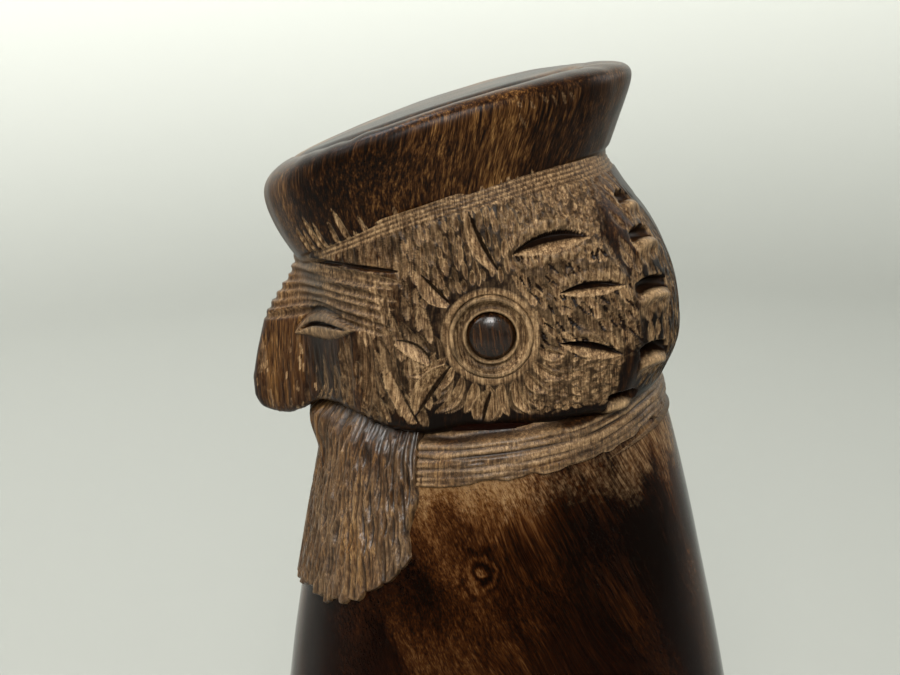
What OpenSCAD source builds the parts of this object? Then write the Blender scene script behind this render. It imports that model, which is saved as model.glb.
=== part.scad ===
// Carved wooden figurine: a bearded head in a tilted flat cap, on a plain robe that widens to a round foot.
// Millimetres, +Z up. The origin is the centre of the foot, and the face looks along -Y.
// Each module is one region of the carving, and neighbouring regions meet face to face.

/* [Robe] */
// Greatest radius of the robe, just above the foot
robe_r = 58; // [55:0.5:60]
// Height of the widest ring of the robe
hem_z = 10; // [8:1:14]
// Height at which the robe's curve ends, inside the collar
neck_z = 188; // [186:1:190]
// Radius of the robe at that height
neck_r = 35.2; // [34.6:0.1:36]
// Radius of the rounding under the hem
foot_round = 5; // [3:0.5:7]

/* [Collar] */
// Height of the collar's lower edge, over the origin
collar_z = 183; // [180:0.5:185]
// Height of the collar's upper edge, where the head sits, over the origin
seat_z = 191.3; // [190:0.1:193]
// Slope of both edges, up towards the back, in degrees
seat_tilt = 6; // [3:0.5:8]
// Radius of the neck inside the collar
core_r = 30; // [27:0.5:31]
// How far the collar stands off the robe
collar_proud = 0.8; // [0.5:0.1:1.2]
// Depth of the lines cut round the collar
collar_line = 0.7; // [0.4:0.1:0.9]

/* [Beard] */
// Half the angle that the beard wraps round the front, in degrees
beard_half = 68; // [60:1:72]
// Height of the beard's lower edge at the front
beard_z = 150; // [146:1:154]
// Radius of the beard's lower corners
beard_corner = 13; // [10:1:15]
// How deep the beard is let into the robe
beard_deep = 3; // [2:0.5:4]
// How far the beard stands off the robe
beard_proud = 0.9; // [0.6:0.1:1.4]
// Number of grooves between the strands
strands = 23; // [15:2:27]

/* [Head] */
// Radius of the head, seen from the side
head_r = 35.7; // [35:0.1:36.4]
// Half the width of the head, from one side face to the other
head_half = 33; // [32:0.5:34]
// How far the head's centre lies behind the origin
head_y = 1.5; // [0.5:0.5:2.5]
// Height of the head's centre
head_z = 208; // [207:0.5:209]
// Half the width of the smooth strip up the back of the head
nape_half = 9; // [8:0.5:11]
// Radius of the scoops cut round the back corners
scoop_r = 3.2; // [2.4:0.1:3.6]

/* [Face] */
// How far the tip of the nose reaches in front of the origin
nose_reach = 52.3; // [51:0.1:54]
// Height of the underside of the nose
nose_z = 186.4; // [185.6:0.1:187.4]
// Radius of the rounded ridge and tip of the nose
nose_round = 4.8; // [4.2:0.1:5.4]
// Half the width of the face where it meets the head
cheek_half = 29; // [27:0.5:30]
// Height of the brow, where the nose begins
brow_z = 208; // [206:0.5:209]
// How far the brow lies behind the tip of the nose
brow_back = 3.4; // [2.6:0.2:4.2]
// How far the forehead lies behind the tip of the nose at its top
forehead_back = 11.5; // [10:0.5:13]
// Height of the forehead
forehead_h = 13; // [12:0.5:14]
// Number of wrinkles on each side of the forehead
wrinkles = 3; // [1:1:3]

/* [Ears] */
// Radius of the cup round each ear
cup_r = 7.8; // [7.2:0.1:8.4]
// Radius of the domed button in the cup
button_r = 4.5; // [4:0.1:4.8]
// Height of the ears
ear_z = 210; // [209:0.5:211]

/* [Cap] */
// Height of the middle of the cap's lower edge
cap_z = 229.8; // [229:0.2:231]
// How far that middle lies in front of the origin
cap_y = 8.9; // [8:0.1:10]
// Slope of the lower edge, up towards the back, in degrees
cap_tilt = 17.3; // [15:0.1:18]
// How much less the rim slopes than the lower edge, in degrees
rim_tilt = 3.5; // [0:0.5:4]
// Half the length of the lower edge
foot_l = 33.4; // [32:0.2:34]
// Half the width of the lower edge
foot_w = 30.5; // [30:0.5:31.5]
// Half the length of the rim
rim_l = 39.5; // [38:0.5:41]
// Half the width of the rim
rim_w = 33; // [32:0.5:35]
// How far the rim is pushed back from the lower edge
rim_back = 3.4; // [2:0.2:4]
// Height of the rim over the lower edge
rim_h = 17.5; // [15:0.5:19]
// Height of the crown over the rim
crown_h = 3; // [2:0.5:4]

/* [Hidden] */
$fn = 96;
wedge_fn = 24;       // roundness of the balls that the face is stretched over
span = 200;          // larger than the figurine each way, for cutting blocks
curve_steps = 24;    // straight runs along the robe's side
plate = 0.2;         // thickness of the slices that the cap is stretched over
cup_depth = 5;
cup_floor = head_half - cup_depth;
button_dome = 9;     // radius of the button's domed top
tip_y = nose_reach - nose_round;
tip_z = nose_z + nose_round;
hollow_r = 5;        // the hollow between the nose and the beard
hollow_y = tip_y - 10.5;
face_y = 24;         // the face ends and the sides begin this far in front of the origin
cheek_y = 14;
cheek_round = 5;
cheek_x = cheek_half - cheek_round;
slit_blade = 9.5;    // radius of the blade that cuts the slits
slit_deep = 2.4;
eye_deep = 1.9;
groove_r = 0.8;      // radius of the grooves between the strands
neck_slope = 0.25;   // how much the robe narrows in 1 mm of height at the collar
polished = "saddlebrown";
carved = "peru";
dark = "maroon";

function robe_radius(z) = robe_r - (robe_r - neck_r) * pow(max(z - hem_z, 0) / (neck_z - hem_z), 2);

// The robe's side between two heights, moved outwards by grow and closed at an inner radius.
module robe_band(z0, z1, grow, inner, steps) {
    side = [for (i = [0 : steps]) let (z = z0 + (z1 - z0) * i / steps) [robe_radius(z) + grow, z]];
    polygon(concat(side, [[inner, z1], [inner, z0]]));
}

// Everything above a plane that slopes up towards the back and crosses the given height at y.
module above(height, tilt, y = 0) {
    translate([0, y, height]) rotate([tilt, 0, 0]) translate([-span, -span, 0]) cube(2 * span);
}

module above_seat() {
    above(seat_z, seat_tilt);
}

module above_cap_edge() {
    above(cap_z, cap_tilt, -cap_y);
}

// A blade with a sharp round edge: where it dips into a surface it leaves a pointed slit.
module blade(radius, half_thick) {
    rotate_extrude() polygon([[0, -half_thick], [radius, 0], [0, half_thick]]);
}

// The wedge of space round the front that the beard fills.
module front_wedge() {
    reach = span * tan(beard_half);
    linear_extrude(span) polygon([[0, 0], [-reach, -span], [reach, -span]]);
}

// The beard as seen from the front, with rounded lower corners.
module beard_outline() {
    edge_x = (robe_radius(beard_z) + beard_proud) * sin(beard_half);
    corner_x = edge_x - beard_corner;
    translate([-edge_x, beard_z + beard_corner]) square([2 * edge_x, span]);
    translate([-corner_x, beard_z]) square([2 * corner_x, span]);
    for (side = [-1, 1]) translate([side * corner_x, beard_z + beard_corner]) circle(beard_corner);
}

module beard_blank() {
    intersection() {
        difference() {
            rotate_extrude() robe_band(beard_z - 1, seat_z + 5, beard_proud, core_r, 8);
            rotate_extrude() robe_band(beard_z - 2, seat_z + 6, -beard_deep, 0, 8);
            above_seat();
        }
        front_wedge();
        rotate([90, 0, 0]) linear_extrude(span) beard_outline();
    }
}

// The groove between two strands, at an angle from the front.
module strand_groove(angle) {
    top_z = seat_z + 3;
    low_z = beard_z - 3;
    top = robe_radius(top_z) + beard_proud;
    low = robe_radius(low_z) + beard_proud;
    rotate([0, 0, angle]) translate([0, -low, low_z]) rotate([-atan2(low - top, top_z - low_z), 0, 0])
        cylinder(r = groove_r, h = norm([top_z - low_z, low - top]), $fn = 24);
}

// The collar goes round the sides and the back, and stops at the beard.
module collar_blank() {
    difference() {
        rotate_extrude() robe_band(collar_z - 5, seat_z + 6, collar_proud, core_r, 4);
        above_seat();
        difference() {
            translate([-span, -span, 0]) cube([2 * span, 2 * span, span]);
            above(collar_z, seat_tilt);
        }
        front_wedge();
    }
}

// The head turned about the X axis: flat side faces, rounded corners, and the rounded back.
module head_blank() {
    edge = [[0, 1], [0.45, 1], [0.68, 0.94], [0.8, 0.82], [0.9, 0.61], [0.96, 0.4], [0.99, 0.2], [1, 0]];
    upper = [for (p = edge) [p[0] * head_r, p[1] * head_half]];
    lower = [for (i = [len(edge) - 2 : -1 : 0]) [edge[i][0] * head_r, -edge[i][1] * head_half]];
    translate([0, head_y, head_z]) rotate([0, 90, 0]) rotate_extrude() polygon(concat(upper, lower));
}

// Everything in front of the upright plane where the face meets the sides of the head.
module before_ears() {
    translate([-span, -face_y - span, 0]) cube([2 * span, span, 2 * span]);
}

// The head between its seat on the collar and the lower edge of the cap.
module head_middle() {
    intersection() {
        difference() {
            head_blank();
            above_cap_edge();
        }
        above_seat();
    }
}

// The wedge of the face: a rounded ridge down the nose, widening back to the cheeks.
module face_wedge() {
    hull() {
        translate([0, -tip_y, tip_z]) sphere(nose_round, $fn = wedge_fn);
        translate([0, brow_back - tip_y, brow_z]) sphere(nose_round, $fn = wedge_fn);
        translate([0, forehead_back - tip_y, brow_z + forehead_h]) sphere(nose_round, $fn = wedge_fn);
        for (side = [-1, 1], z = [seat_z + cheek_round, brow_z + forehead_h + cheek_round])
            translate([side * cheek_x, -cheek_y, z]) sphere(cheek_round, $fn = wedge_fn);
    }
}

// Carries its children to a height on the left flank of the face, part of the way from the ridge
// to the cheek, with +X out of the flank.
module at_flank(z, part) {
    ridge = tip_y - lookup(z, [[tip_z, 0], [brow_z, brow_back], [brow_z + forehead_h, forehead_back]]);
    flank = atan2(ridge - cheek_y, cheek_x);
    translate([part * cheek_x, part * (ridge - cheek_y) - ridge, z])
        rotate([0, 0, flank - 90]) translate([nose_round, 0, 0]) children();
}

// The closed eye on the left of the face, and the wrinkles above it.
module eye_cuts() {
    at_flank(brow_z - 0.4, 0.42) rotate([6, 0, 0]) translate([slit_blade - eye_deep, 0, 0]) blade(slit_blade, 4);
    for (i = [1 : wrinkles])
        at_flank(brow_z + 3.2 * i, 0.36) rotate([4, 0, 0])
            translate([slit_blade - 1.2, 0, 0]) blade(slit_blade, 3);
}

// Carries its children to the hole of one ear, with +Z out of the head.
module at_ear(side) {
    translate([side * cup_floor, 0, ear_z]) rotate([0, side * 90, 0]) children();
}

// The three lidded slits behind the ear and the scoops round the back corner.
module side_cuts() {
    slits = [[11.3, 227, 6], [18.5, 218.5, 0], [17.6, 206.8, -8]];   // y, z and slope
    scoop_out = 0.88 * head_r;
    for (s = slits)
        translate([head_half + slit_blade - slit_deep, s[0], s[1]]) rotate([s[2], 0, 0]) blade(slit_blade, 4);
    for (a = [-49 : 19 : 46])
        translate([0.76 * head_half, head_y + scoop_out * cos(a), head_z + scoop_out * sin(a)])
            sphere(scoop_r, $fn = 48);
}

module head_side(side) {
    color(carved) mirror([side > 0 ? 0 : 1, 0, 0]) difference() {
        intersection() {
            head_middle();
            translate([nape_half, -face_y, 0]) cube([span, 2 * span, 2 * span]);
        }
        at_ear(1) cylinder(r = cup_r, h = span);
        side_cuts();
    }
}

module ear_cup(side) {
    color(carved) at_ear(side) rotate_extrude() difference() {
        translate([button_r, 0]) square([cup_r - button_r, cup_depth]);
        translate([(cup_r + button_r) / 2, cup_depth + 0.6]) circle(1.9, $fn = 32);
    }
}

module ear_button(side) {
    color(dark) at_ear(side) rotate_extrude() intersection() {
        square([button_r, cup_depth + 0.4]);
        translate([0, cup_depth + 0.4 - button_dome]) circle(button_dome);
    }
}

module robe() {
    color(polished) difference() {
        rotate_extrude() union() {
            robe_band(hem_z, seat_z + 5, 0, 0, curve_steps);
            translate([0, foot_round]) square([robe_r, hem_z - foot_round]);
            square([robe_r - foot_round, hem_z]);
            translate([robe_r - foot_round, foot_round]) circle(foot_round);
        }
        above_seat();
        beard_blank();
        collar_blank();
    }
}

module collar() {
    color(carved) difference() {
        collar_blank();
        for (part = [0.3, 0.6]) let (z = collar_z + part * (seat_z - collar_z), r = robe_radius(z))
            translate([0, -neck_slope * r * sin(seat_tilt), z]) rotate([seat_tilt, 0, 0])
                rotate_extrude() translate([r + collar_proud, 0]) circle(collar_line, $fn = 24);
    }
}

module beard() {
    color(carved) difference() {
        beard_blank();
        for (i = [1 : strands]) strand_groove(beard_half * (2 * i / (strands + 1) - 1));
    }
}

module face() {
    color(carved) difference() {
        union() {
            intersection() {
                face_wedge();
                before_ears();
            }
            intersection() {
                head_middle();
                before_ears();
            }
        }
        difference() {
            translate([-span, -hollow_y, 0]) cube([2 * span, span, seat_z + 20]);
            above_seat();
        }
        translate([-span, -hollow_y, nose_z - 3]) rotate([0, 90, 0]) cylinder(r = hollow_r, h = 2 * span);
        above_cap_edge();
        for (side = [0, 1]) mirror([side, 0, 0]) eye_cuts();
    }
}

module nape() {
    color(polished) intersection() {
        head_middle();
        translate([-nape_half, -face_y, 0]) cube([2 * nape_half, 2 * span, 2 * span]);
    }
}

// Carries its children to the middle of the cap's lower edge, tilted with it.
module at_cap() {
    translate([0, -cap_y, cap_z]) rotate([cap_tilt, 0, 0]) children();
}

// A thin slice through the rim, tilted with the rim and drawn in by inset.
module rim_slice(height, inset) {
    translate([0, rim_back, height]) rotate([-rim_tilt, 0, 0])
        linear_extrude(plate) scale([rim_w - inset, rim_l - inset]) circle(1);
}

module cap_band() {
    color(polished) at_cap() hull() {
        linear_extrude(plate) scale([foot_w, foot_l]) circle(1);
        translate([0, rim_back / 2, rim_h / 2]) rotate([-rim_tilt / 2, 0, 0])
            linear_extrude(plate) scale([foot_w + rim_w + 1, foot_l + rim_l + 1] / 2) circle(1);
        rim_slice(rim_h - 5, 0.2);
        rim_slice(rim_h - 3, 0);
        rim_slice(rim_h - 1.2, 0.6);
        rim_slice(rim_h - plate, 2.4);
    }
}

module cap_crown() {
    color(dark) at_cap() hull() {
        rim_slice(rim_h, 2.6);
        rim_slice(rim_h + crown_h * 0.6, 10);
        rim_slice(rim_h + crown_h - plate, 22);
    }
}

robe();
collar();
beard();
face();
head_side(1);  // left_side
head_side(-1);  // right_side
nape();
ear_cup(1);  // left_ear_cup
ear_cup(-1);  // right_ear_cup
ear_button(1);  // left_ear_button
ear_button(-1);  // right_ear_button
cap_band();
cap_crown();
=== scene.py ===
import math

import bmesh
import bpy
import numpy as np
from mathutils import Matrix, Vector


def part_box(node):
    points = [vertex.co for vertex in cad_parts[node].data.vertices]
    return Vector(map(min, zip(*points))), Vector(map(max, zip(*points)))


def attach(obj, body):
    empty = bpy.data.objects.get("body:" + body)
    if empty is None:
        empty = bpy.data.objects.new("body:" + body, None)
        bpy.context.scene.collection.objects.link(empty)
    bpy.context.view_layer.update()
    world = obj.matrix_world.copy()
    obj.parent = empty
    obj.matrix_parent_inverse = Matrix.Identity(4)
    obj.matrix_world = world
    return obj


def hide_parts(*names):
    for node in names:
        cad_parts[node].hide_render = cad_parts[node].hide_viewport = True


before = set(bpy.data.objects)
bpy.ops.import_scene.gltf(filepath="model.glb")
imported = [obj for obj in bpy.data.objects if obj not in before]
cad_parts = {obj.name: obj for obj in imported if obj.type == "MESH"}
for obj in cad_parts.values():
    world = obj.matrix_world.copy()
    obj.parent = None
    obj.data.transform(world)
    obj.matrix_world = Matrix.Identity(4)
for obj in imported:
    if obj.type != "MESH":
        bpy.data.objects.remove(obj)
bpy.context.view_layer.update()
fine = 1.0   # mesh density, coarser for a quick try

# All shapes are worked out in millimetres and scaled to metres at the end of each piece.


def nodeBox(name):   # lowest and highest corner of a CAD node, in mm
    low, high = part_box(name)
    return np.array(low) * 1000, np.array(high) * 1000


def smooth(edge0, edge1, value):   # soft step from 0 at edge0 to 1 at edge1
    t = np.clip((value - edge0) / (edge1 - edge0), 0, 1)
    return t * t * (3 - 2 * t)


def softNoise(points, step, seed):   # smooth noise from -1 to 1 with a bump about every step mm
    size = 32
    lattice = np.random.default_rng(seed).uniform(-1, 1, (size, size, size))
    q = points / step
    cell = np.floor(q).astype(int)
    f = q - cell
    f = f * f * (3 - 2 * f)
    total = np.zeros(len(points))
    for dx in (0, 1):
        for dy in (0, 1):
            for dz in (0, 1):
                weight = (
                    (f[:, 0] if dx else 1 - f[:, 0])
                    * (f[:, 1] if dy else 1 - f[:, 1])
                    * (f[:, 2] if dz else 1 - f[:, 2])
                )
                total += weight * lattice[
                    (cell[:, 0] + dx) % size, (cell[:, 1] + dy) % size, (cell[:, 2] + dz) % size
                ]
    return total


def meshFrom(bm, name):
    mesh = bpy.data.meshes.new(name)
    bm.to_mesh(mesh)
    bm.free()
    return mesh


def getPoints(mesh):
    co = np.empty(len(mesh.vertices) * 3)
    mesh.vertices.foreach_get("co", co)
    return co.reshape(-1, 3)


def setPoints(mesh, points):
    mesh.vertices.foreach_set("co", points.ravel())
    mesh.update()


def getNormals(mesh):
    n = np.empty(len(mesh.vertices) * 3)
    mesh.vertices.foreach_get("normal", n)
    return n.reshape(-1, 3)


def store(mesh, name, values):   # one number for each point, read by the wood materials
    layer = mesh.attributes.get(name) or mesh.attributes.new(name, "FLOAT", "POINT")
    layer.data.foreach_set("value", np.asarray(values, np.float32))


def edgeEnds(mesh):   # the two points of every edge
    ends = np.empty(len(mesh.edges) * 2, np.int32)
    mesh.edges.foreach_get("vertices", ends)
    return ends.reshape(-1, 2).T


def relax(a, b, values, rounds, keep):   # each value drifts towards the mean of its neighbours
    size = len(values)
    count = np.bincount(a, minlength=size) + np.bincount(b, minlength=size) + 1e-6
    for _ in range(rounds):
        near = np.bincount(a, values[b], size) + np.bincount(b, values[a], size)
        values = keep * values + (1 - keep) * near / count
    return values


def crestsAndHollows(mesh, soften=2):   # 1 on crests, -1 in hollows
    p, n = getPoints(mesh), getNormals(mesh)
    a, b = edgeEnds(mesh)
    gap = p[b] - p[a]
    reach = (gap * gap).sum(1) + 1e-6
    count = np.bincount(a, minlength=len(p)) + np.bincount(b, minlength=len(p)) + 1e-6
    rise = np.bincount(a, -(gap * n[a]).sum(1) / reach, len(p))
    rise = rise + np.bincount(b, (gap * n[b]).sum(1) / reach, len(p))
    return np.clip(relax(a, b, rise / count, soften, 0.4) * 1.1, -1, 1)


def hollows(mesh, cut, rounds=24, gain=1.2):   # how much deeper each point lies than the wood around it
    a, b = edgeEnds(mesh)
    return np.clip((cut - relax(a, b, cut, rounds, 0.3)) * gain, -1, 1)


def makePiece(name, mesh, nodes, material):
    mesh.transform(Matrix.Scale(0.001, 4))
    mesh.materials.clear()
    mesh.materials.append(material)
    piece = bpy.data.objects.new(name, mesh)
    bpy.context.scene.collection.objects.link(piece)
    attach(piece, "root")
    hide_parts(*nodes)
    return piece


def shadeSmooth(mesh):
    mesh.polygons.foreach_set("use_smooth", [True] * len(mesh.polygons))


def inside(outline, spots):   # which spots lie inside a closed outline
    x, y = spots[:, 0], spots[:, 1]
    hit = np.zeros(len(spots), bool)
    for (x0, y0), (x1, y1) in zip(outline, outline[1:] + outline[:1]):
        crosses = (y0 > y) != (y1 > y)
        hit ^= crosses & (x < (x1 - x0) * (y - y0) / (y1 - y0 + 1e-12) + x0)
    return hit


class Worked:   # a surface laid out flat, for gouges to be pushed into
    def __init__(self, flat, cell=2.0):
        self.flat = flat
        self.cut = np.zeros(len(flat))      # depth taken away
        self.lift = np.zeros(len(flat))     # wood left standing
        self.worked = np.zeros(len(flat))   # 1 where a tool has been
        self.cell = cell
        self.low = flat.min(0)
        spot = np.floor((flat - self.low) / cell).astype(np.int64)
        self.rows = spot[:, 1].max() + 2
        key = spot[:, 0] * self.rows + spot[:, 1]
        self.order = np.argsort(key, kind="stable")
        self.key = key[self.order]

    def near(self, low, high):
        i0, j0 = np.floor((low - self.low) / self.cell).astype(int)
        i1, j1 = np.floor((high - self.low) / self.cell).astype(int)
        j0, j1 = max(j0, 0), min(j1, self.rows - 2)
        parts = []
        if j1 >= j0:
            for i in range(max(i0, 0), i1 + 1):
                a, b = np.searchsorted(self.key, [i * self.rows + j0, i * self.rows + j1 + 1])
                if b > a:
                    parts.append(self.order[a:b])
        return np.concatenate(parts) if parts else np.empty(0, int)

    def reach(self, a, b, width, bend):
        a, b = np.array(a, float), np.array(b, float)
        length = math.hypot(*(b - a)) + 1e-9
        along = (b - a) / length
        margin = width * 1.6 + abs(bend)
        i = self.near(np.minimum(a, b) - margin, np.maximum(a, b) + margin)
        d = self.flat[i] - a
        t = d @ along / length
        s = d @ np.array([-along[1], along[0]]) - bend * 4 * t * (1 - t)
        return i, t, s

    # One push from a to b: thin where it enters, full towards its end.
    # A lean of 0 leaves a round trough; up to 1 leaves one steep wall and one slanting wall.
    def gouge(self, a, b, width, depth, bend=0.0, late=1.4, lean=0.0, mark=1.0, clean=False):
        i, t, s = self.reach(a, b, width, bend)
        ok = (t > 0) & (t < 1)
        i, t, s = i[ok], t[ok], s[ok]
        body = np.clip(np.sin(math.pi * t ** late), 0, 1)
        x = s / (width * body ** 0.6 + 1e-6)
        if lean:
            peak = 0.85 * lean
            form = np.clip(np.where(x < peak, (x + 1) / (1 + peak), (1 - x) / (1 - peak)), 0, 1)
        else:
            form = np.clip(1 - x * x, 0, 1)
        deep = depth * body ** 0.7 * form
        touched = mark * np.clip((1.02 - np.abs(x)) * 6, 0, 1)
        newer = deep > self.cut[i]
        if clean:   # one bold cut: its slanting wall pale cut wood, its steep wall kept dark as painted shade
            here = (np.abs(x) < 1) & (body > 0.15)
            self.cut[i[here]] = deep[here]
            self.worked[i[here]] = np.where(x[here] < 0.85 * lean, 1.0, 0.12)
            return
        self.worked[i] = np.where(newer, np.where(touched > 0, touched, self.worked[i]), self.worked[i])
        self.cut[i] = np.maximum(self.cut[i], deep)

    def ridge(self, a, b, width, height, bend=0.0):   # a rounded crest left standing from a to b
        i, t, s = self.reach(a, b, width, bend)
        ok = (t > 0) & (t < 1) & (np.abs(s) < width)
        i, t, s = i[ok], t[ok], s[ok]
        form = np.cos(s / width * math.pi / 2) ** 2 * np.sin(math.pi * t) ** 0.5
        self.lift[i] = np.maximum(self.lift[i], height * form)
        self.worked[i] = np.where(form > 0.25, np.maximum(self.worked[i], 0.5), self.worked[i])

    def mound(self, a, b, arch, sag, height):   # an almond of wood left proud
        i, t, s = self.reach(a, b, arch + sag + 0.5, 0)
        ok = (t > 0) & (t < 1)
        i, t, s = i[ok], t[ok], s[ok]
        swell = 4 * t * (1 - t)
        f = (s + sag * swell) / ((arch + sag) * swell + 1e-6)
        within = (f > 0) & (f < 1)
        i, f = i[within], f[within]
        self.cut[i] *= 0.15
        self.lift[i] = np.maximum(self.lift[i], height * (4 * f * (1 - f)) ** 0.6)
        self.worked[i] = np.where(f < 0.42, 0.7, 0.34)

    # A closed-eye cut from a to b: a steep arched upper wall over a slanting lower one.
    def lidded(self, a, b, arch, sag, depth):
        i, t, s = self.reach(a, b, arch + sag + 0.5, 0)
        ok = (t > 0) & (t < 1)
        i, t, s = i[ok], t[ok], s[ok]
        swell = 4 * t * (1 - t)
        top, bottom = arch * swell, -sag * swell
        f = (s - bottom) / (top - bottom + 1e-6)
        within = (f > 0) & (f < 1)
        deep = np.where(within, np.minimum(f ** 1.3, (1 - f) * 9), 0) * depth * swell ** 0.5
        # pale on the lower lip, with painted shade up under the lid
        self.worked[i] = np.where(within, 1.0 - 1.3 * smooth(0.3, 0.75, f), self.worked[i])
        self.cut[i] = np.where(within, np.maximum(0.3 * self.cut[i], deep), self.cut[i])

    # Fills an outline with short, slightly uneven pushes, in staggered rows.
    def fill(self, rng, outline, angle, length, width, depth, steps, turn, bend, late, mark):
        ends = np.array(outline, float)
        low, high = ends.min(0) - 2, ends.max(0) + 2
        along = np.array([math.cos(math.radians(angle)), math.sin(math.radians(angle))])
        across = np.array([-along[1], along[0]])
        middle, far = (low + high) / 2, math.hypot(*(high - low)) / 2
        spots = []
        for row, k in enumerate(np.arange(-far, far, steps[0])):
            for m in np.arange(-far, far, steps[1]):
                shift = (row % 2) * steps[1] / 2
                wobble = rng.uniform(-0.3, 0.3, 2) * steps
                spots.append(middle + along * (m + shift + wobble[1]) + across * (k + wobble[0]))
        spots = np.array(spots)
        for spot in spots[inside(outline, spots)]:
            a = math.radians(angle + rng.normal(0, turn))
            half = np.array([math.cos(a), math.sin(a)]) * length * rng.uniform(0.7, 1.25) / 2
            self.gouge(
                spot - half, spot + half, width * rng.uniform(0.75, 1.25), depth * rng.uniform(0.55, 1.3),
                bend=bend * rng.uniform(-1, 1.6), late=late, mark=mark * rng.uniform(0.45, 1.0),
            )


def woodMaterial(name, look):
    material = bpy.data.materials.new(name)
    material.use_nodes = True
    tree = material.node_tree
    tree.nodes.clear()

    def node(kind, settings=None, **inputs):
        made = tree.nodes.new(kind)
        for key, value in (settings or {}).items():
            setattr(made, key, value)
        for key, value in inputs.items():
            numbered = key[0] == "i" and key[1:].isdigit()   # i0, i1 and so on are sockets by number
            socket = made.inputs[int(key[1:]) if numbered else key.replace("_", " ")]
            if isinstance(value, bpy.types.NodeSocket):
                tree.links.new(value, socket)
            else:
                socket.default_value = value
        return made

    def calc(operation, a, b=0.0, clamp=False):
        return node("ShaderNodeMath", {"operation": operation, "use_clamp": clamp}, i0=a, i1=b).outputs[0]

    def ramp(value, stops):
        made = node("ShaderNodeValToRGB", i0=value)
        band = made.color_ramp
        while len(band.elements) < len(stops):
            band.elements.new(0.5)
        for element, (place, colour) in zip(band.elements, stops):
            element.position = place
            element.color = (*colour, 1) if len(colour) == 3 else colour
        return made.outputs[0]

    def blend(factor, a, b, mode="MIX"):
        made = node("ShaderNodeMix", {"data_type": "RGBA", "blend_type": mode})
        for socket, value in ((made.inputs[0], factor), (made.inputs[6], a), (made.inputs[7], b)):
            if isinstance(value, bpy.types.NodeSocket):
                tree.links.new(value, socket)
            else:
                socket.default_value = value if isinstance(value, float) else (*value, 1)
        return made.outputs[2]

    def noise(vector, scale, detail=2.0, rough=0.5, twist=0.0, output=0):
        made = node("ShaderNodeTexNoise", None, Vector=vector, Scale=scale, Detail=detail, Roughness=rough)
        made.inputs["Distortion"].default_value = twist
        return made.outputs[output]

    def stretched(vector, scale):
        return node("ShaderNodeMapping", None, Vector=vector, Scale=scale).outputs[0]

    inMm = stretched(node("ShaderNodeTexCoord").outputs["Object"], (1000, 1000, 1000))

    def vectors(operation, a, b):
        return node("ShaderNodeVectorMath", {"operation": operation}, i0=a, i1=b).outputs[0]

    def drift(scale, detail, size):   # a slow push in any direction, about size mm across
        push = vectors("SUBTRACT", noise(inMm, scale, detail, output=1), (0.5, 0.5, 0.5))
        return node("ShaderNodeVectorMath", {"operation": "SCALE"}, i0=push, Scale=size).outputs[0]

    # the grain leans, and sways as it rises
    tilt = (math.radians(look["lean"]), 0, 0)
    leaning = node("ShaderNodeMapping", None, Vector=inMm, Rotation=tilt).outputs[0]
    flow = vectors("ADD", leaning, drift(0.022, 1.5, look["sway"]))
    figure = noise(stretched(flow, (1, 1, 0.13)), 0.05, 3.0, 0.55, 0.4)
    layers = noise(stretched(flow, (1, 1, 0.14)), 0.03, 2.0, 0.45, 0.3)
    rings = calc("SINE", calc("MULTIPLY", layers, look["rings"]))
    fibre = noise(stretched(flow, (1, 1, 0.03)), look["fibre"], 3.0, 0.65)
    hair = noise(stretched(flow, (1, 1, 0.06)), 4.5, 2.0, 0.6)
    pores = ramp(noise(stretched(flow, (1, 1, 0.1)), 3.4, 1.0, 0.5), [(0.62, (0, 0, 0)), (0.7, (1, 1, 1))])
    worked = node("ShaderNodeAttribute", {"attribute_name": "worked"}).outputs["Fac"]
    wearAndShade = node("ShaderNodeAttribute", {"attribute_name": "wearAndShade"}).outputs["Fac"]
    fleck = noise(inMm, 0.9, 3.0, 0.65)

    def spread(value, amount):   # noise centred on nothing, made stronger
        return calc("MULTIPLY", calc("SUBTRACT", value, 0.5), amount)

    # polished wood: dark bands, thin growth lines, bright and dark streaks along the grain
    tone = calc("ADD", look["level"], spread(figure, look["swirl"]))
    tone = calc("ADD", tone, calc("MULTIPLY", rings, look["ringShow"]))
    tone = calc("ADD", tone, spread(fibre, look["streaks"]))
    tone = calc("ADD", tone, calc("MULTIPLY", worked, look["dust"]))
    tone = calc("ADD", tone, spread(hair, look["hairs"]), clamp=True)
    if look["knot"]:   # uneven rings of grain round a small knot
        offset = stretched(vectors("SUBTRACT", inMm, look["knot"]), (1, 1.1, 0.8))
        offset = vectors("ADD", offset, drift(0.28, 2.0, 4.5))
        reach = node("ShaderNodeVectorMath", {"operation": "LENGTH"}, i0=offset).outputs["Value"]
        close = calc("SUBTRACT", 1.0, calc("MULTIPLY", reach, 0.17), clamp=True)
        swing = calc("ADD", calc("MULTIPLY", calc("SINE", calc("MULTIPLY", reach, 2.9)), 0.25), 0.02)
        tone = calc("ADD", tone, calc("MULTIPLY", close, swing), clamp=True)
    polished = ramp(tone, look["bands"])
    polished = blend(calc("MULTIPLY", pores, 0.5), polished, look["pore"])
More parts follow.
